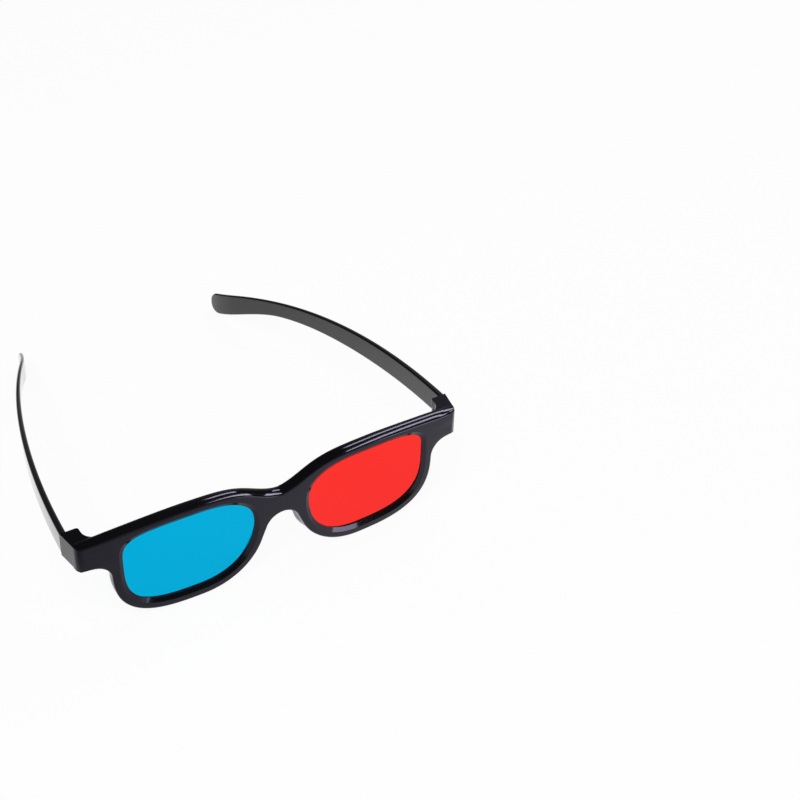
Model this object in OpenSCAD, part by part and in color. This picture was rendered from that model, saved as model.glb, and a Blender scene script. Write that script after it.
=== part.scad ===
// Two-colour 3D glasses: a one-piece moulded front with two snap-in filter lenses
// and two temples that fold on steel pins.
// The glasses stand open on a table, looking along -Y. Left and right are the wearer's,
// so the left side is at +X. The front is drawn upright and then leans back on the table.

/* [Front] */
// Width of the front across its outer corners
front_w = 147.6; // [143:0.1:152]
// How far the bridge stands ahead of the outer corners
front_bow = 2.2; // [0.4:0.2:4]
// Depth of the brow bar, front to back
bar_depth = 4.4; // [4.2:0.1:6]
// Depth of the lower rims, front to back
rim_depth = 4; // [3.7:0.1:5]
// Rounding of the front edges
edge_r = 0.6; // [0.3:0.1:0.9]
// Rounding of the rear edges
rear_r = 0.6; // [0.3:0.1:0.8]
// Rounding of the upright outer corners
corner_r = 2; // [1:0.1:2.6]
// Height of the brow crown above the level of the corners
crown_z = 2.1; // [1.6:0.1:3.5]
// Distance of the brow crown from the middle
crown_x = 38; // [34:1:42]
// How far the brow falls from its crown to the outer corners
brow_fall = 2.1; // [1.5:0.1:3]
// How far the brow falls from its crown towards the middle, before the dip
brow_fall_in = 1.4; // [0.3:0.1:2]
// Height of the crown along the top of the brow, which falls away to the front
brow_crown = 0.5; // [0:0.1:0.8]
// Depth at which that crown is highest
crown_depth = 3; // [2.6:0.1:3]

/* [Bridge] */
// Depth of the dip in the brow over the nose
bridge_dip = 6.4; // [5:0.1:7.5]
// Half width of that dip
bridge_spread = 12.9; // [11:0.1:14]
// Top of the nose arch below the level of the corners
arch_z = 14.1; // [13:0.1:15]
// Radius of the nose arch
arch_r = 6.7; // [6:0.1:7]
// Angle of the nose arch at which its straight flanks start
arch_flank = 24; // [20:1:30]
// Height of the moulded nose pads behind the rims
pad_h = 1.8; // [0.6:0.1:2.4]
// How far the nose pads stand out towards the nose at their rear
pad_out = 1; // [0:0.1:1.4]

/* [Lens openings] */
// Centre of a lens opening, from the middle
lens_x = 32; // [31.5:0.1:33]
// Centre of a lens opening, below the level of the corners
lens_drop = 14; // [13.8:0.1:15]
// Reach of the opening towards the temple
open_out = 27; // [25.5:0.1:27.4]
// Reach of the opening towards the nose
open_in = 21.2; // [20:0.1:21.8]
// Reach of the opening upwards
open_up = 12.2; // [11.5:0.1:12.6]
// Reach of the opening downwards
open_down = 20; // [18:0.1:21]
// Squareness of the upper outer corner, 2 is an ellipse
square_up_out = 4.7; // [3:0.1:5]
// Squareness of the upper inner corner
square_up_in = 2.5; // [2:0.1:3]
// Squareness of the lower inner corner
square_low_in = 2.15; // [2:0.05:2.5]
// Squareness of the lower outer corner
square_low_out = 3; // [2.4:0.1:3.4]

/* [Rims] */
// Width of the rim beside the temple
rim_out = 4.2; // [3.6:0.1:5]
// Width of the rim beside the nose
rim_in = 4.2; // [3.4:0.1:4.5]
// Width of the rim below the lens
rim_low = 4.1; // [3.4:0.1:5]
// Squareness of the rim's lower outer corner
rim_square_out = 2.9; // [2.4:0.05:3.2]
// Squareness of the rim's lower inner corner
rim_square_in = 2.1; // [2:0.05:2.5]
// Radius of the hollow between the end piece and the rim
rim_hollow_r = 6.7; // [5.5:0.1:8]

/* [Lenses] */
// Thickness of a filter lens
lens_t = 1; // [0.6:0.1:1.2]
// Depth of the lens behind the front face
lens_recess = 1.2; // [1:0.1:1.4]
// Width of the bevel round the opening
bevel_w = 1.5; // [1.3:0.1:1.7]
// Height of the upright land between that bevel and the lens
bevel_land = 0.25; // [0.1:0.05:0.3]
// Depth of the groove that holds the lens
groove_d = 1.2; // [1:0.1:1.4]
// Width that the rear lip of the groove gives way to let the lens snap in
lip_relief = 0.7; // [0.5:0.1:0.8]
// Thickness of that lip
lip_t = 0.5; // [0.3:0.1:0.8]
// Width by which the opening widens behind the lip, to the rear face
rear_open = 2.2; // [1.6:0.1:2.2]
// Clearance of the lens in its groove
lens_clear = 0.05; // [0.02:0.01:0.08]

/* [End pieces] */
// Height of an end piece
end_h = 9.9; // [9.6:0.1:11]
// Depth of an end piece from the corner to its rear face
end_depth = 10.4; // [10:0.1:12]
// Width of an end piece at its rear face
end_w = 6.4; // [6.2:0.1:7]
// How far an end piece flares outwards to the rear
end_flare = 1.85; // [0.5:0.05:2.2]
// Radius of the hollow between an end piece and the back of the brow bar
end_hollow_r = 4.2; // [3:0.1:4.6]
// Rounding of the inner rear corner, round which the temple swings
end_round = 1; // [0.9:0.1:1.2]
// Upward angle of the end pieces and temples to the front
temple_rise = 4.3; // [2:0.1:6]

/* [Hinges] */
// Diameter of a hinge pin
pin_d = 1.4; // [1:0.1:1.6]
// Distance of the pin from the rear and the inner face of the end piece
pin_inset = 1.9; // [1.8:0.05:2]
// Thickness of the upper cheek
cheek_top = 2.7; // [2:0.1:3]
// Height of the slot between the cheeks
slot_h = 4.6; // [4:0.1:5]
// Clearance above and below the temple's tongue
tongue_gap = 0.25; // [0.15:0.05:0.4]
// Clearance round the tongue's barrel and web
barrel_gap = 0.3; // [0.2:0.05:0.35]
// Reach of the tongue's root outwards from the pin
root_out = 3.2; // [2.9:0.1:3.4]
// Width of the gusset between the tongue and the temple's inner face
gusset_w = 0.6; // [0.3:0.1:0.7]
// Length of that gusset behind the shoulder
gusset_l = 3.5; // [2:0.1:5]
// Radial clearance of the pin in the tongue
pin_run = 0.05; // [0.02:0.01:0.09]
// Radial clearance of the pin in the cheeks
pin_seat = 0.02; // [0.01:0.01:0.04]
// Plastic left above the blind end of the pin's hole
pin_cover = 1.1; // [0.8:0.1:1.5]
// Depth by which the pin is sunk below the end piece
pin_sunk = 0.4; // [0.2:0.1:0.8]
// Chamfer at both ends of the pin
pin_chamfer = 0.2; // [0.1:0.05:0.3]

/* [Temples] */
// Length of a temple from the end piece to its tip
temple_len = 126.8; // [115:0.1:140]
// Gap between a temple's shoulder and its end piece
shoulder_gap = 0.3; // [0.25:0.05:0.5]
// How far a temple bows inwards, 120 mm behind the end piece
temple_bow = 26; // [18:0.1:28]
// How far a temple runs down straight, 120 mm behind the end piece
temple_fall = 3.9; // [2:0.1:8]
// How far a temple curves down besides, 120 mm behind the end piece
ear_drop = 17.8; // [12:0.1:20]
// How far the tip of a temple turns out again
tip_flare = 2.5; // [0:0.1:4]
// Length of temple over which the tip turns out
flare_len = 13; // [10:0.5:20]
// Height of a temple at its shoulder
temple_h = 9.2; // [8.7:0.1:9.3]
// Height of a temple at its waist
waist_h = 6.9; // [5.5:0.1:8]
// Height of the paddle at a temple's tip
tip_h = 10.2; // [8.5:0.1:11]
// Thickness of a temple at its shoulder
temple_t = 2.4; // [2.2:0.1:2.7]
// Thickness of a temple at its tip
tip_t = 1.4; // [1.3:0.1:2.4]
// Step from the top of an end piece down to its temple
temple_step = 0.4; // [0.3:0.1:0.8]
// Rounding of a temple's long edges
temple_edge = 0.7; // [0.3:0.1:0.8]
// Rounding of the paddle's upper rear corner
tip_r_up = 2.3; // [2:0.1:4]
// Rounding of the paddle's lower rear corner
tip_r_low = 5.6; // [3:0.1:6]
// Angle that the left temple stands turned in when open
toe_in_left = 2.3; // [0:0.1:4]
// Angle that the right temple stands turned in when open
toe_in_right = 2.7; // [0:0.1:4]

/* [Hidden] */
$fn = 48;
half_w = front_w / 2;
lens_z = -lens_drop;
gloss_black = [0.08, 0.08, 0.09];
temple_black = [0.11, 0.11, 0.12];
cyan = [0, 0.66, 0.86, 0.6];
red = [1, 0.16, 0.14, 0.6];
steel = [0.7, 0.71, 0.73];

// Steps of the curves
top_n = 36;
end_n = 5;
hollow_n = 9;
low_n = 44;
arch_n = 9;
mid_n = 3;

function mix(a, b, k) = a + (b - a) * k;
function limit(v) = max(0, min(1, v));
function ease(v) = let(k = limit(v)) k * k * (3 - 2 * k);
function turn_x(p, a) = [p[0], p[1] * cos(a) - p[2] * sin(a), p[1] * sin(a) + p[2] * cos(a)];
function turn_z(p, c, a) = [c[0] + (p[0] - c[0]) * cos(a) - (p[1] - c[1]) * sin(a),
                            c[1] + (p[0] - c[0]) * sin(a) + (p[1] - c[1]) * cos(a), p[2]];

// The front face is bowed: its depth follows a parabola across the width
function bow_y(x) = -front_bow * (1 - pow(x / half_w, 2));

// Brow line: it falls from the crown to the corners and dips over the nose
brow_power = 1.5;
function brow_z(x) =
    crown_z
    - (x > crown_x ? brow_fall * pow((x - crown_x) / (half_w - crown_x), brow_power)
                   : brow_fall_in * pow((crown_x - x) / crown_x, 2))
    - bridge_dip * exp(-pow(x / bridge_spread, 2));

// Four-quarter superellipse about the lens centre, as a radius at an angle
function quarter(ang, upper_out, upper_in, lower_in, lower_out) =
    sin(ang) >= 0 ? (cos(ang) >= 0 ? upper_out : upper_in)
                  : (cos(ang) >= 0 ? lower_out : lower_in);
function round_r(ang, reach_x, reach_z, square) =
    pow(pow(abs(cos(ang)) / reach_x, square) + pow(abs(sin(ang)) / reach_z, square), -1 / square);
function spoke(ang, r) = [lens_x + r * cos(ang), lens_z + r * sin(ang)];
function opening(ang, grow) =
    spoke(ang, round_r(ang, (cos(ang) >= 0 ? open_out : open_in) + grow,
                       (sin(ang) >= 0 ? open_up : open_down) + grow,
                       quarter(ang, square_up_out, square_up_in, square_low_in, square_low_out)));
function rim(ang, inset) =
    spoke(ang, round_r(ang, (cos(ang) >= 0 ? open_out + rim_out : open_in + rim_in) - inset,
                       open_down + rim_low - inset,
                       cos(ang) >= 0 ? rim_square_out : rim_square_in));

// Outline of one half of the front, clockwise from the middle of the brow, drawn inwards by
// an inset, and by an inset of its own at the upright outer corner
rim_side_x = lens_x + open_out + rim_out;
hollow_x = rim_side_x + rim_hollow_r;
hollow_z = -end_h - rim_hollow_r;
low_start = atan2(hollow_z - lens_z, rim_side_x - lens_x);
low_end = -160;
arch_c = -arch_z - arch_r;
crown_fade = 8;
function brow_line(inset, end_inset, crown) =
    [for (i = [0 : top_n - 1]) let(x = half_w * i / top_n)
        [x * (half_w - end_inset) / half_w,
         brow_z(x) - inset - crown * ease((half_w - x) / crown_fade)]];
function end_line(inset, end_inset) =
    [for (i = [0 : end_n]) [half_w - end_inset, mix(brow_z(half_w) - inset, inset - end_h, i / end_n)]];
function hollow_line(inset) =
    [for (i = [0 : hollow_n - 1]) let(a = 90 + 90 * i / hollow_n)
        [hollow_x + (rim_hollow_r + inset) * cos(a), hollow_z + (rim_hollow_r + inset) * sin(a)]];
function low_line(inset) = [for (i = [0 : low_n]) rim(mix(low_start, low_end, i / low_n), inset)];
function arch_line(inset) =
    [for (i = [0 : arch_n]) let(a = mix(arch_flank, 90, i / arch_n))
        [i == arch_n ? 0 : (arch_r + inset) * cos(a), arch_c + (arch_r + inset) * sin(a)]];
function mid_line(inset) =
    [for (i = [1 : mid_n - 1]) [0, mix(inset - arch_z, brow_z(0) - inset, i / mid_n)]];
function outline(inset, end_inset, crown) =
    concat(brow_line(inset, end_inset, crown), end_line(inset, end_inset), hollow_line(inset),
           low_line(inset), arch_line(inset), mid_line(inset));

// Angle of the spoke from the lens centre to each point of the outline. Along the end piece the
// angles are spaced evenly, so that the spokes never cross.
edge = outline(0, 0, 0);
sections = len(edge);
end_first = top_n;
end_last = top_n + end_n + hollow_n;
low_first = end_last + 1;
arch_last = low_first + low_n + 1 + arch_n;
function angle_to(p) = atan2(p[1] - lens_z, p[0] - lens_x);
spokes = [for (i = [0 : sections - 1])
    i >= end_first && i <= end_last
        ? mix(angle_to(edge[end_first]), low_start, (i - end_first) / (low_first - end_first))
        : angle_to(edge[i])];

// Depth of the front at each section: deep at the brow, less at the rims, more at the nose pads
pad_middle = 203;
pad_reach = 34;
pad_lip = 0.5;
thin_from = -8;
thin_to = -16;
function pad_swell(ang) =
    let(a = ang < 0 ? ang + 360 : ang, k = abs(a - pad_middle) / pad_reach)
    k < 1 ? pow(cos(90 * k), 2) : 0;
function depth(i) =
    mix(rim_depth, bar_depth,
        i > end_last ? ease((edge[i][1] - thin_to) / (thin_from - thin_to)) : 1);

// The rounding of the front edge grows towards the upright outer corners
corner_reach = 5;
function front_r(i) =
    i > end_last ? edge_r
                 : mix(edge_r, corner_r, ease(1 - (half_w - edge[i][0]) / corner_reach));

// A lens seat is a flat plane that touches the bow at the middle of the opening
seat_x = lens_x + (open_out - open_in) / 2;
seat_slope = 2 * front_bow * seat_x / pow(half_w, 2);
seat_turn = atan(seat_slope);
function seat_y(x) = bow_y(seat_x) + seat_slope * (x - seat_x);
lens_back = lens_recess + lens_t + 2 * lens_clear;

// Closed ring of points round the front's material at each section: front face, outer wall,
// rear face, then the groove and the bevel of the opening
flare_reach = 8;
soft = 1 - sqrt(0.5);
outer_rings = [
    outline(edge_r, corner_r, brow_crown),
    outline(soft * edge_r, soft * corner_r, brow_crown),
    outline(0, 0, brow_crown),
    outline(0, 0, brow_crown / 4),
    edge,
    edge,
    outline(soft * rear_r, soft * rear_r, 0),
    outline(rear_r, rear_r, 0)];
outer_n = len(outer_rings);
function rear_depth(i) = depth(i) + pad_h * pad_swell(spokes[i]);
function outer_depth(i) =
    [0, soft * front_r(i), front_r(i), (front_r(i) + crown_depth) / 2, crown_depth,
     rear_depth(i) - rear_r, rear_depth(i) - soft * rear_r, rear_depth(i)];

// The nose pads stand out along the spokes, more to the rear, and not at the middle of the arch
pad_share = [0, 0, 0, 0, 0.3, 1, 1, 1];
function pad_shift(i, j) =
    pad_out * pad_share[j] * pad_swell(spokes[i]) * ease(edge[i][0] / arch_r)
    * [cos(spokes[i]), sin(spokes[i])];
function flared(p, y) =
    [p[0] + end_flare * limit(1 - (half_w - p[0]) / flare_reach) * y / end_depth,
     bow_y(p[0]) + y, p[1] + y * tan(temple_rise)];
function at_seat(i, grow, y) =
    let(p = opening(spokes[i], grow)) [p[0], seat_y(p[0]) + y, p[1]];
function at_bow(i, grow, y) =
    let(p = opening(spokes[i], grow)) [p[0], bow_y(p[0]) + y, p[1]];
function section(i) = concat(
    [at_bow(i, bevel_w, 0)],
    [for (j = [0 : outer_n - 1]) flared(outer_rings[j][i] + pad_shift(i, j), outer_depth(i)[j])],
    [at_bow(i, rear_open, depth(i) + pad_lip * pad_h * pad_swell(spokes[i])),
     at_seat(i, lip_relief, lens_back + lip_t),
     at_seat(i, lip_relief, lens_back),
     at_seat(i, groove_d, lens_back),
     at_seat(i, groove_d, lens_recess),
     at_seat(i, 0, lens_recess),
     at_seat(i, 0, lens_recess - bevel_land)]);
half_front = [for (i = [0 : sections - 1]) section(i)];
ring_n = len(half_front[0]);

// Points on the middle plane belong to both halves, and the wall between the halves is left open
function on_middle(i, j) = (i == 0 || i >= arch_last) && j >= 1 && j <= outer_n;
function inside_wall(i, j) = i >= arch_last && j >= 1 && j < outer_n;
function point_no(side, i, j) =
    let(s = i % sections, r = j % ring_n)
    (side == 1 && on_middle(s, r) ? 0 : side * sections * ring_n) + s * ring_n + r;
front_points = concat(
    [for (ring = half_front) for (p = ring) p],
    [for (ring = half_front) for (p = ring) [-p[0], p[1], p[2]]]);
front_faces = [
    for (side = [0, 1]) for (i = [0 : sections - 1]) for (j = [0 : ring_n - 1])
        if (!inside_wall(i, j))
            let(a = point_no(side, i, j), b = point_no(side, i, j + 1),
                c = point_no(side, i + 1, j + 1), d = point_no(side, i + 1, j))
            side == 0 ? [a, b, c, d] : [d, c, b, a]];

// End piece seen from above, in the frame of the temple: it starts inside the brow bar
end_outer_x = half_w + end_flare;
end_inner_x = end_outer_x - end_w;
hollow_in_x = end_inner_x - end_hollow_r;
block_start = bar_depth / 2;
block_skin = 0.03;
block_lap = 1;
bar_back = bow_y(hollow_in_x) + bar_depth - 2 * block_skin;
function arc(c, r, from, to, n) = [for (i = [0 : n]) let(a = mix(from, to, i / n)) c + r * [cos(a), sin(a)]];
block_outline = concat(
    [[hollow_in_x - block_lap, block_start], [hollow_in_x - block_lap, bar_back]],
    arc([hollow_in_x, bar_back + end_hollow_r], end_hollow_r, -90, 0, 8),
    arc([end_inner_x + end_round, end_depth - end_round], end_round, 180, 90, 6),
    [[end_outer_x, end_depth],
     [half_w + end_flare * block_start / end_depth - block_skin, block_start]]);
block_top = (brow_z(half_w) - block_skin) * cos(temple_rise);
block_low = (block_skin - end_h) * cos(temple_rise);

// Hinge, in the frame of the temple
pin_r = pin_d / 2;
pin_at = [end_inner_x + pin_inset, end_depth - pin_inset];
slot_top = block_top - cheek_top;
slot_low = slot_top - slot_h;
barrel_r = pin_inset;
pin_top = block_top - pin_cover;
pin_low = block_low + pin_sunk;
slot_reach = barrel_r + barrel_gap;

// Temple along its length, in the frame of the temple
bow_span = 120;
shoulder_y = end_depth + shoulder_gap;
tip_y = end_depth + temple_len;
waist_at = 0.754;
waist_power = 1.76;
ear_power = 2.79;
paddle_at = 1.006;
function along(y) = (y - end_depth) / bow_span;
function flare_at(y) = max(0, (y - tip_y + flare_len) / flare_len);
function outer_x(y) =
    end_outer_x - temple_bow * pow(along(y), 2) + tip_flare * pow(flare_at(y), 2);
function outer_turn(y) =
    atan(2 * temple_bow * along(y) / bow_span - 2 * tip_flare * flare_at(y) / flare_len);
function top_z(y) =
    block_top - temple_step - temple_fall * along(y) - ear_drop * pow(along(y), ear_power);
function height(y) =
    let(k = along(y))
    waist_h + (temple_h - waist_h) * (0.5 + 0.5 * cos(180 * pow(min(1, k / waist_at), waist_power)))
    + (tip_h - waist_h) * ease((k - waist_at) / (paddle_at - waist_at));
function thick(y) = mix(temple_t, tip_t, limit(along(y)));
function end_cut(s, r) = s < r ? r - sqrt(r * r - (r - s) * (r - s)) : 0;

// Cross-section of a temple at a place along it: a rectangle with rounded edges, square to the
// temple seen from above
edge_n = 3;
edge_share = 0.45;
function rounded(w, low, high, r) = concat(
    arc([w - r, low + r], r, -90, 0, edge_n), arc([w - r, high - r], r, 0, 90, edge_n),
    arc([r, high - r], r, 90, 180, edge_n), arc([r, low + r], r, 180, 270, edge_n));
function temple_ring(y) =
    let(s = tip_y - y,
        high = top_z(y) - end_cut(s, tip_r_up),
        low = top_z(y) - height(y) + end_cut(s, tip_r_low),
        w = thick(y),
        a = outer_turn(y),
        r = min(temple_edge, edge_share * w))
    [for (p = rounded(w, low, high, r))
        [outer_x(y) - p[0] * cos(a), y - p[0] * sin(a), p[1]]];
body_n = 40;
paddle_n = 9;
last_turn = 86;
paddle_y = tip_y - tip_r_low;
temple_steps = concat(
    [for (i = [0 : body_n - 1]) mix(shoulder_y, paddle_y, i / body_n)],
    [for (i = [0 : paddle_n]) paddle_y + tip_r_low * sin(last_turn * i / paddle_n)]);
temple_rings = [for (y = temple_steps) temple_ring(y)];

// The glasses rest on the rear lower edge of the rims and on the paddles. The lean is the slope of
// the table under them, and the origin lies under the middle of their length.
function to_front(p, toe) = turn_x(turn_z(p, pin_at, toe), temple_rise);
temple_cloud = [for (toe = [toe_in_left, toe_in_right]) for (ring = temple_rings) for (p = ring)
    to_front(p, toe)];
rim_cloud = [for (ring = half_front) for (j = [1 : outer_n]) ring[j]];
touch = 0.0001;
rest_from = 2 * end_depth;
function lowest(cloud, slope) = min([for (p = cloud) p[2] - slope * p[1]]);
function foot(cloud, slope) =
    let(low = lowest(cloud, slope))
    [for (p = cloud) if (p[2] - slope * p[1] < low + touch) p][0];
function table_slope(foot_p) =
    min([for (p = temple_cloud) if (p[1] > rest_from) (p[2] - foot_p[2]) / (p[1] - foot_p[1])]);
slope_guess = table_slope(foot(rim_cloud, 0));
rim_foot = foot(rim_cloud, slope_guess);
lean = atan(table_slope(rim_foot));
stand_z = turn_x(rim_foot, -lean)[2];
front_y = min([for (p = rim_cloud) turn_x(p, -lean)[1]]);
back_y = max([for (p = temple_cloud) turn_x(p, -lean)[1]]);

module stand() {
    translate([0, -(front_y + back_y) / 2, -stand_z])
        rotate([-lean, 0, 0])
            children();
}

module side(left) {
    if (left) children();
    else mirror([1, 0, 0]) children();
}

module in_temple_frame(left, toe = 0) {
    side(left)
        rotate([temple_rise, 0, 0])
            translate([pin_at[0], pin_at[1], 0])
                rotate([0, 0, toe])
                    translate([-pin_at[0], -pin_at[1], 0])
                        children();
}

// Sweep of a list of rings, closed by its two end rings
module skin(rings) {
    n = len(rings[0]);
    last = len(rings) - 1;
    polyhedron(
        points = [for (ring = rings) for (p = ring) p],
        faces = concat(
            [[for (k = [0 : n - 1]) k]],
            [for (i = [0 : last - 1]) for (k = [0 : n - 1])
                [i * n + k, (i + 1) * n + k, (i + 1) * n + (k + 1) % n, i * n + (k + 1) % n]],
            [[for (k = [n - 1 : -1 : 0]) last * n + k]]));
}

module rims_and_bridge() {
    polyhedron(points = front_points, faces = front_faces, convexity = 6);
}

module end_block(left) {
    in_temple_frame(left)
        translate([0, 0, block_low])
            linear_extrude(block_top - block_low) polygon(block_outline);
}

// Slot between the cheeks: open to the inside and to the rear, wider behind the pin
module hinge_slot(left) {
    in_temple_frame(left)
        translate([pin_at[0], pin_at[1], slot_low]) {
            translate([-end_w, -slot_reach, 0])
                cube([end_w + slot_reach, slot_reach + end_depth, slot_h]);
            cube([root_out + barrel_gap, end_depth, slot_h]);
        }
}

module pin_hole(left, r, low, high) {
    in_temple_frame(left)
        translate([pin_at[0], pin_at[1], low])
            cylinder(r = r, h = high - low);
}

module front_frame() {
    color(gloss_black)
        stand()
            difference() {
                union() {
                    rims_and_bridge();
                    end_block(true);
                    end_block(false);
                }
                for (left = [true, false]) {
                    hinge_slot(left);
                    pin_hole(left, pin_r + pin_seat, pin_low - end_h, pin_top);
                }
            }
}

module lens(left) {
    grow = groove_d - lens_clear;
    face = [for (ang = spokes) opening(ang, grow)];
    stand()
        side(left)
            translate([seat_x + sin(seat_turn) * (lens_recess + lens_back) / 2, seat_y(seat_x), 0])
                rotate([0, 0, seat_turn])
                    translate([-seat_x, lens_recess + lens_clear + lens_t, 0])
                        rotate([90, 0, 0])
                            linear_extrude(lens_t) polygon(face);
}

module hinge_pin(left) {
    length = pin_top - pin_low - pin_sunk;
    color(steel)
        stand()
            in_temple_frame(left)
                translate([pin_at[0], pin_at[1], pin_low]) {
                    cylinder(r1 = pin_r - pin_chamfer, r2 = pin_r, h = pin_chamfer);
                    translate([0, 0, pin_chamfer])
                        cylinder(r = pin_r, h = length - 2 * pin_chamfer);
                    translate([0, 0, length - pin_chamfer])
                        cylinder(r1 = pin_r, r2 = pin_r - pin_chamfer, h = pin_chamfer);
                }
}

// Tongue of a temple, measured from the pin: a barrel round the pin and a web that runs back into
// the temple's shoulder, with a small gusset on the inner face
tongue_top = slot_top - tongue_gap;
tongue_low = slot_low + tongue_gap;
shoulder_at = shoulder_y - pin_at[1];
inner_at = end_outer_x - temple_t - pin_at[0];
web_outline = [
    [0, 0],
    [0, barrel_r],
    [inner_at - gusset_w, shoulder_at],
    [inner_at - gusset_w, shoulder_at + gusset_w],
    [inner_at + gusset_w, shoulder_at + gusset_l],
    [root_out, shoulder_at + gusset_l],
    [root_out, barrel_r / 2],
    [barrel_r, 0]];

module tongue() {
    translate([pin_at[0], pin_at[1], tongue_low]) {
        linear_extrude(tongue_top - tongue_low) polygon(web_outline);
        cylinder(r = barrel_r, h = tongue_top - tongue_low);
    }
}

module temple(left) {
    color(temple_black)
        stand()
            in_temple_frame(left, left ? toe_in_left : toe_in_right)
                difference() {
                    union() {
                        skin(temple_rings);
                        tongue();
                    }
                    translate([pin_at[0], pin_at[1], tongue_low - end_h])
                        cylinder(r = pin_r + pin_run, h = 3 * end_h);
                }
}

module right_lens() { color(cyan) lens(false); }
module left_lens() { color(red) lens(true); }
module right_hinge_pin() { hinge_pin(false); }
module left_hinge_pin() { hinge_pin(true); }
module right_temple() { temple(false); }
module left_temple() { temple(true); }

front_frame();
right_lens();
left_lens();
right_hinge_pin();
left_hinge_pin();
right_temple();
left_temple();
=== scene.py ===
import math

import bmesh
import bpy
from mathutils import Matrix, Vector


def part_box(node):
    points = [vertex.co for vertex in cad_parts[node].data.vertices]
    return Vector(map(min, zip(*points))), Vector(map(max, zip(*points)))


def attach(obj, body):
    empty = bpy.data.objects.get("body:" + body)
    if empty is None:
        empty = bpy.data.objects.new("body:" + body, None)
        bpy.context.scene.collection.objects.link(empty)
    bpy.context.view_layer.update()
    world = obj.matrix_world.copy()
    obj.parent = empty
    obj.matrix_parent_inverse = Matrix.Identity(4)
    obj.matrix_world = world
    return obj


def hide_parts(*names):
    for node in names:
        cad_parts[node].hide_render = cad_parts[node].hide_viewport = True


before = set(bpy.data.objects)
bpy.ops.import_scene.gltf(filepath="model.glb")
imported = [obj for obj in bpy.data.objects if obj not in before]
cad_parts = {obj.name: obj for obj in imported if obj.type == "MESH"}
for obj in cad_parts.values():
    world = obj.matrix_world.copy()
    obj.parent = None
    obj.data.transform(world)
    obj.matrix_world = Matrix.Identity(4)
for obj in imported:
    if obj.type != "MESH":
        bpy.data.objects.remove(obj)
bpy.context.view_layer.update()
scene = bpy.context.scene
scene.view_settings.view_transform = "Standard"


# Moulded front: one injection of gloss black polystyrene with both rims, the bridge, the nose
# pads and the two end pieces. The filters snap into its grooves, and the pins into its cheeks.
class Wire:
    """One socket of a material's nodes, which takes part in plain arithmetic."""

    def __init__(self, tree, socket=None):
        self.tree = tree
        self.socket = socket

    def node(self, kind, settings=None, sockets=None, out=None):
        """A node of a kind, its settings made first, then its values and links."""
        made = self.tree.nodes.new(kind)
        for name, value in (settings or {}).items():
            setattr(made, name, value)
        for name, value in (sockets or {}).items():
            entry = next(s for s in made.inputs if name in (s.identifier, s.name))
            if isinstance(value, Wire):
                self.tree.links.new(value.socket, entry)
            else:
                entry.default_value = value
        exits = [s for s in made.outputs if out in (None, s.identifier, s.name)]
        return Wire(self.tree, exits[0] if exits else None)

    def maths(self, operation, first, second):
        return self.node("ShaderNodeMath", {"operation": operation},
                         {"Value": first, "Value_001": second})

    def __add__(self, other):
        return self.maths("ADD", self, other)

    def __sub__(self, other):
        return self.maths("SUBTRACT", self, other)

    def __rsub__(self, other):
        return self.maths("SUBTRACT", other, self)

    def __mul__(self, other):
        return self.maths("MULTIPLY", self, other)

    __radd__ = __add__
    __rmul__ = __mul__

    def either(self, other):
        """The larger of two values."""
        return self.maths("MAXIMUM", self, other)

    def between(self, low, high):
        """0 below low, 1 above high, smooth between."""
        return self.node("ShaderNodeMapRange", {"interpolation_type": "SMOOTHSTEP"},
                         {"Value": self, "From Min": low, "From Max": high})

    def axis(self, name):
        """One coordinate of a place or a direction."""
        return self.node("ShaderNodeSeparateXYZ", {}, {"Vector": self}, name)

    def tint(self, dark, light):
        """A colour between two, by this value."""
        return self.node("ShaderNodeMix", {"data_type": "RGBA"},
                         {"Factor_Float": self, "A_Color": (*dark, 1), "B_Color": (*light, 1)},
                         "Result_Color")


def new_finish(name):
    """An empty material, the wire that makes its nodes, and the place on the object."""
    material = bpy.data.materials.new(name)
    material.use_nodes = True
    material.node_tree.nodes.clear()
    pen = Wire(material.node_tree)
    return material, pen, pen.node("ShaderNodeTexCoord", out="Object")


def speckle(pen, place, scale, detail=2, rough=0.5):
    """Even noise from 0 to 1, with a number of grains to the metre."""
    return pen.node("ShaderNodeTexNoise", {}, {
        "Vector": place, "Scale": scale, "Detail": detail, "Roughness": rough}, "Fac")


def show(pen, sockets):
    """Ends a material in one plastic or metal surface."""
    surface = pen.node("ShaderNodeBsdfPrincipled", {}, sockets)
    pen.node("ShaderNodeOutputMaterial", {}, {"Surface": surface})


def own_copy(node, name, material, crisp):
    """A piece with a node's shape: its triangles merged, and smooth but for crisp edges."""
    weld = 2e-6
    form = bmesh.new()
    form.from_mesh(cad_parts[node].data)
    bmesh.ops.remove_doubles(form, verts=form.verts, dist=weld)
    for face in form.faces:
        face.smooth = True
        face.material_index = 0
    form.normal_update()
    for edge in form.edges:
        edge.smooth = not crisp(edge)
    mesh = bpy.data.meshes.new(name)
    form.to_mesh(mesh)
    form.free()
    mesh.materials.clear()
    mesh.materials.append(material)
    piece = bpy.data.objects.new(name, mesh)
    scene.collection.objects.link(piece)
    even = piece.modifiers.new("even_shading", "WEIGHTED_NORMAL")
    even.mode = "FACE_AREA_WITH_ANGLE"
    even.keep_sharp = True
    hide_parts(node)
    return piece


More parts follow.
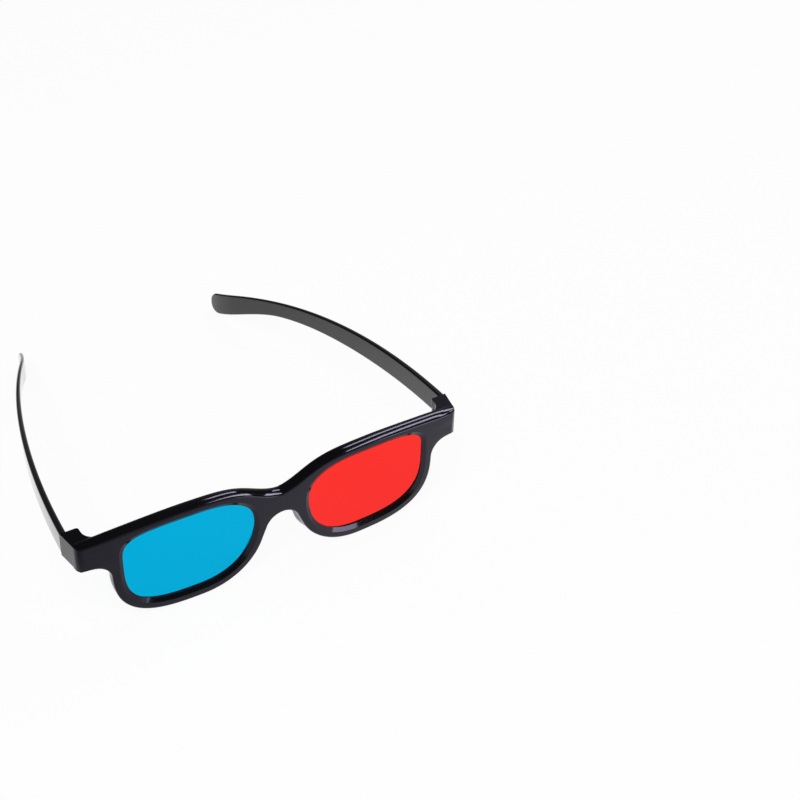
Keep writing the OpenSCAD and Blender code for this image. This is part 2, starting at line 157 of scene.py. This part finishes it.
deep_black, pale_black = (0.0022, 0.0022, 0.0026), (0.0042, 0.0042, 0.0050)
violet_shine = (0.81, 0.75, 1.0, 1)
gloss_black, pen, place = new_finish("gloss_black")
cloud = speckle(pen, place, scale=55)
peel = speckle(pen, place, scale=1300, detail=1)
dust = speckle(pen, place, scale=2600, detail=3, rough=0.7).between(0.7, 0.8)
show(pen, {
    "Base Color": (cloud + dust).tint(deep_black, pale_black),
    "Roughness": cloud * 0.05 + dust * 0.15 + 0.06,
    "IOR": 1.50,
    "Specular Tint": violet_shine,
    "Normal": pen.node("ShaderNodeBump", {}, {
        "Strength": 0.03, "Distance": 0.0001, "Height": peel}),
})
lens_middle = {}
for hand in ("right", "left"):
    low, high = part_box(hand + "_lens")
    lens_middle[hand] = (Vector(low) + Vector(high)) / 2


def bevel_edge(edge):
    """Corners are crisp, and so are the edges of the faces that look in towards a lens."""
    corner, nearly_flat = math.radians(55), math.radians(12)
    faces_lens = 0.25
    angle = edge.calc_face_angle(0)
    if angle > corner:
        return True
    if angle < nearly_flat:
        return False
    start, end = (vert.co for vert in edge.verts)
    inward = lens_middle["left" if start.x > 0 else "right"] - (start + end) / 2
    inward.y = 0
    inward.normalize()
    return any(face.normal.dot(inward) > faces_lens for face in edge.link_faces)


front = own_copy("front_frame", "moulded_front", gloss_black, bevel_edge)
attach(front, "front")


# Filter lenses: flat sheets of dyed plastic, cyan for the right eye and red for the left, die-cut
# and snapped into the grooves of the rims.
def dyed_sheet(name, deep, light):
    finish, pen, place = new_finish(name)
    cloud = speckle(pen, place, scale=40)
    fleck = speckle(pen, place, scale=1500, rough=0.6).between(0.72, 0.8)
    show(pen, {
        "Base Color": cloud.tint(deep, light),
        "Roughness": fleck * 0.2 + 0.04,
        "IOR": 1.12,
        "Transmission Weight": 1.0,
    })
    return finish


def dress(node, finish):
    """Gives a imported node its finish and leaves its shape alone."""
    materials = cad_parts[node].data.materials
    materials.clear()
    materials.append(finish)


dress("right_lens", dyed_sheet("cyan_sheet", (0.0, 0.41, 0.70), (0.0, 0.44, 0.74)))
dress("left_lens", dyed_sheet("red_sheet", (1.0, 0.028, 0.023), (1.0, 0.034, 0.028)))

# Hinge pins: short lengths of drawn steel wire, pressed up into the end pieces from below, on
# which the temples turn.
dull_steel, bright_steel = (0.52, 0.53, 0.55), (0.66, 0.67, 0.69)
steel, pen, place = new_finish("drawn_steel")
stretched = pen.node("ShaderNodeMapping", {}, {"Vector": place, "Scale": (1.0, 1.0, 0.04)})
drawn = speckle(pen, stretched, scale=9000)
show(pen, {
    "Base Color": drawn.tint(dull_steel, bright_steel),
    "Metallic": 1.0,
    "Roughness": drawn * 0.2 + 0.25,
})
for hand in ("right", "left"):
    dress(hand + "_hinge_pin", steel)

# Temples: black polystyrene mouldings with a satin skin, each with its hinge tongue at the front
# and a paddle behind the ear. They turn on the pins.
deep_satin, pale_satin = (0.006, 0.005, 0.006), (0.010, 0.008, 0.010)
satin_shine = (0.96, 0.94, 1.0, 1)
satin_black, pen, place = new_finish("satin_black")
cloud = speckle(pen, place, scale=45)
grain = speckle(pen, place, scale=5200)
show(pen, {
    "Base Color": cloud.tint(deep_satin, pale_satin),
    "Roughness": cloud * 0.05 + grain * 0.03 + 0.1,
    "IOR": 1.328,
    "Specular Tint": satin_shine,
    "Coat Weight": 1.0,
    "Coat IOR": 1.328,
    "Normal": pen.node("ShaderNodeBump", {}, {
        "Strength": 0.02, "Distance": 0.00005, "Height": grain}),
})


def corner_edge(edge):
    corner = math.radians(40)
    return edge.calc_face_angle(0) > corner


for hand in ("right", "left"):
    temple = own_copy(hand + "_temple", hand + "_temple_arm", satin_black, corner_edge)
    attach(temple, hand + "_temple")

# Table: a plain white top that keeps the shadow of the glasses. It looks white by itself and
# through the filters. In the plastic it shows painted shade: grey in front on the wearer's right,
# and far behind.
table_size = 60.0
table_drop = 0.0002
table_paint = (0.9, 0.9, 0.9, 1)
# grey of the painted shade that the plastic reflects from the table
painted_shade_grey = (0.12, 0.11, 0.13)
white_share = 0.92
form = bmesh.new()
bmesh.ops.create_grid(form, x_segments=1, y_segments=1, size=table_size / 2,
                      matrix=Matrix.Translation((0, 0, -table_drop)))
mesh = bpy.data.meshes.new("table")
form.to_mesh(mesh)
form.free()
table = bpy.data.objects.new("table", mesh)
scene.collection.objects.link(table)


def ray(pen, kind):
    """1 for the rays of a kind, and 0 for others."""
    return pen.node("ShaderNodeLightPath", out=f"Is {kind} Ray")


table_white, pen, place = new_finish("table_white")
mirrored = ray(pen, "Glossy")
through = ray(pen, "Transmission")
seen = ray(pen, "Camera").either(mirrored).either(through)
across, along = place.axis("X"), place.axis("Y")
# painted shade: in reflections only, the white table is greyed in front on the wearer's right and
# far behind
painted_shade = (1 - across.between(-0.25, 0.2)) * (1 - along.between(-0.075, -0.045))
painted_shade = painted_shade + along.between(0.1, 0.28)
top = pen.node("ShaderNodeMixShader", {}, {
    "Fac": seen * white_share,
    "Shader": pen.node("ShaderNodeBsdfDiffuse", {}, {"Color": table_paint}),
    "Shader_001": pen.node("ShaderNodeEmission", {}, {
        "Color": (painted_shade * mirrored * (1 - through)).tint((1, 1, 1), painted_shade_grey),
        "Strength": 1.0})})
pen.node("ShaderNodeOutputMaterial", {}, {"Surface": top})
mesh.materials.append(table_white)

# Room: white for the camera and through the filters. In the plastic it is dark, but pale low in
# front on the wearer's left, and dim high in front and behind.
dark_room, pale_room = (0.03, 0.03, 0.03), (0.95, 0.93, 1.0)
world = bpy.data.worlds.new("room")
scene.world = world
world.use_nodes = True
world.node_tree.nodes.clear()
pen = Wire(world.node_tree)
way = pen.node("ShaderNodeTexCoord", out="Generated")
aside, ahead, rise = way.axis("X"), way.axis("Y"), way.axis("Z")
low_front = (1 - rise.between(0.0, 0.12)) * (1 - ahead.between(-0.3, 0.3))
low_front = low_front * aside.between(-0.5, 0.5)
high_front = rise.between(0.4, 0.55) * (1 - ahead.between(-0.8, -0.1)) * 0.5
behind = aside.between(0.15, 0.6) * ahead.between(0.5, 0.65) * 0.35
behind = behind + ahead.between(0.7, 0.95) * rise.between(0.1, 0.25) * 0.2
dim = pen.node("ShaderNodeBackground", {}, {
    "Color": (low_front + high_front + behind).tint(dark_room, pale_room), "Strength": 1.0})
white = pen.node("ShaderNodeBackground", {}, {"Color": (1, 1, 1, 1), "Strength": 1.0})
room = pen.node("ShaderNodeMixShader", {}, {
    "Fac": ray(pen, "Camera").either(ray(pen, "Transmission")),
    "Shader": dim, "Shader_001": white})
pen.node("ShaderNodeOutputWorld", {}, {"Surface": room})


# Studio lamps: two thin strips and a soft box on the wearer's left, which draw the lines on the
# brow and the patches on the bevels, and a large fill from above that the plastic doesn't show.
def soft_box(name, start, end, width, glow):
    """A lamp along a line that faces the glasses; its power follows from its area and glow."""
    glasses = Vector((0, -0.06, 0.02))
    start, end = Vector(start), Vector(end)
    middle = (start + end) / 2
    back = (middle - glasses).normalized()
    along = (end - start).normalized()
    along = (along - back * along.dot(back)).normalized()
    lamp = bpy.data.lights.new(name, "AREA")
    lamp.shape = "RECTANGLE"
    lamp.size, lamp.size_y = (end - start).length, width
    lamp.energy = glow * math.pi * lamp.size * lamp.size_y
    lamp.color = (0.95, 0.95, 1.0)
    holder = bpy.data.objects.new(name, lamp)
    turn = Matrix((along, back.cross(along), back)).transposed()
    holder.matrix_world = Matrix.Translation(middle) @ turn.to_4x4()
    holder.visible_transmission = False
    scene.collection.objects.link(holder)
    return holder


soft_box("rear_strip", (0.38, 0.38, 0.95), (0.74, 0.46, 0.67), width=0.09, glow=8.5)
soft_box("front_strip", (0.38, 0.06, 1.04), (0.92, 0.28, 0.56), width=0.09, glow=9.5)
soft_box("side_box", (0.605, -1.055, 0.28), (0.95, -0.75, 0.28), width=0.42, glow=5)
fill = soft_box("fill", (-1.0, -0.5, 1.2), (0.0, -0.5, 1.2), width=1.0, glow=5)
fill.visible_glossy = False

# Camera: where the photographer stood, in front of the glasses, above them and on the wearer's
# right.
view = bpy.data.cameras.new("camera")
view.sensor_width = 36.0
view.lens = 67.033
view.shift_x, view.shift_y = -0.0011, 0.0003
view.clip_start = 0.01
camera = bpy.data.objects.new("camera", view)
camera.location = (-0.18404, -0.37769, 0.40162)
camera.rotation_euler = (0.838942, -0.083633, -0.563143)
scene.collection.objects.link(camera)
scene.camera = camera
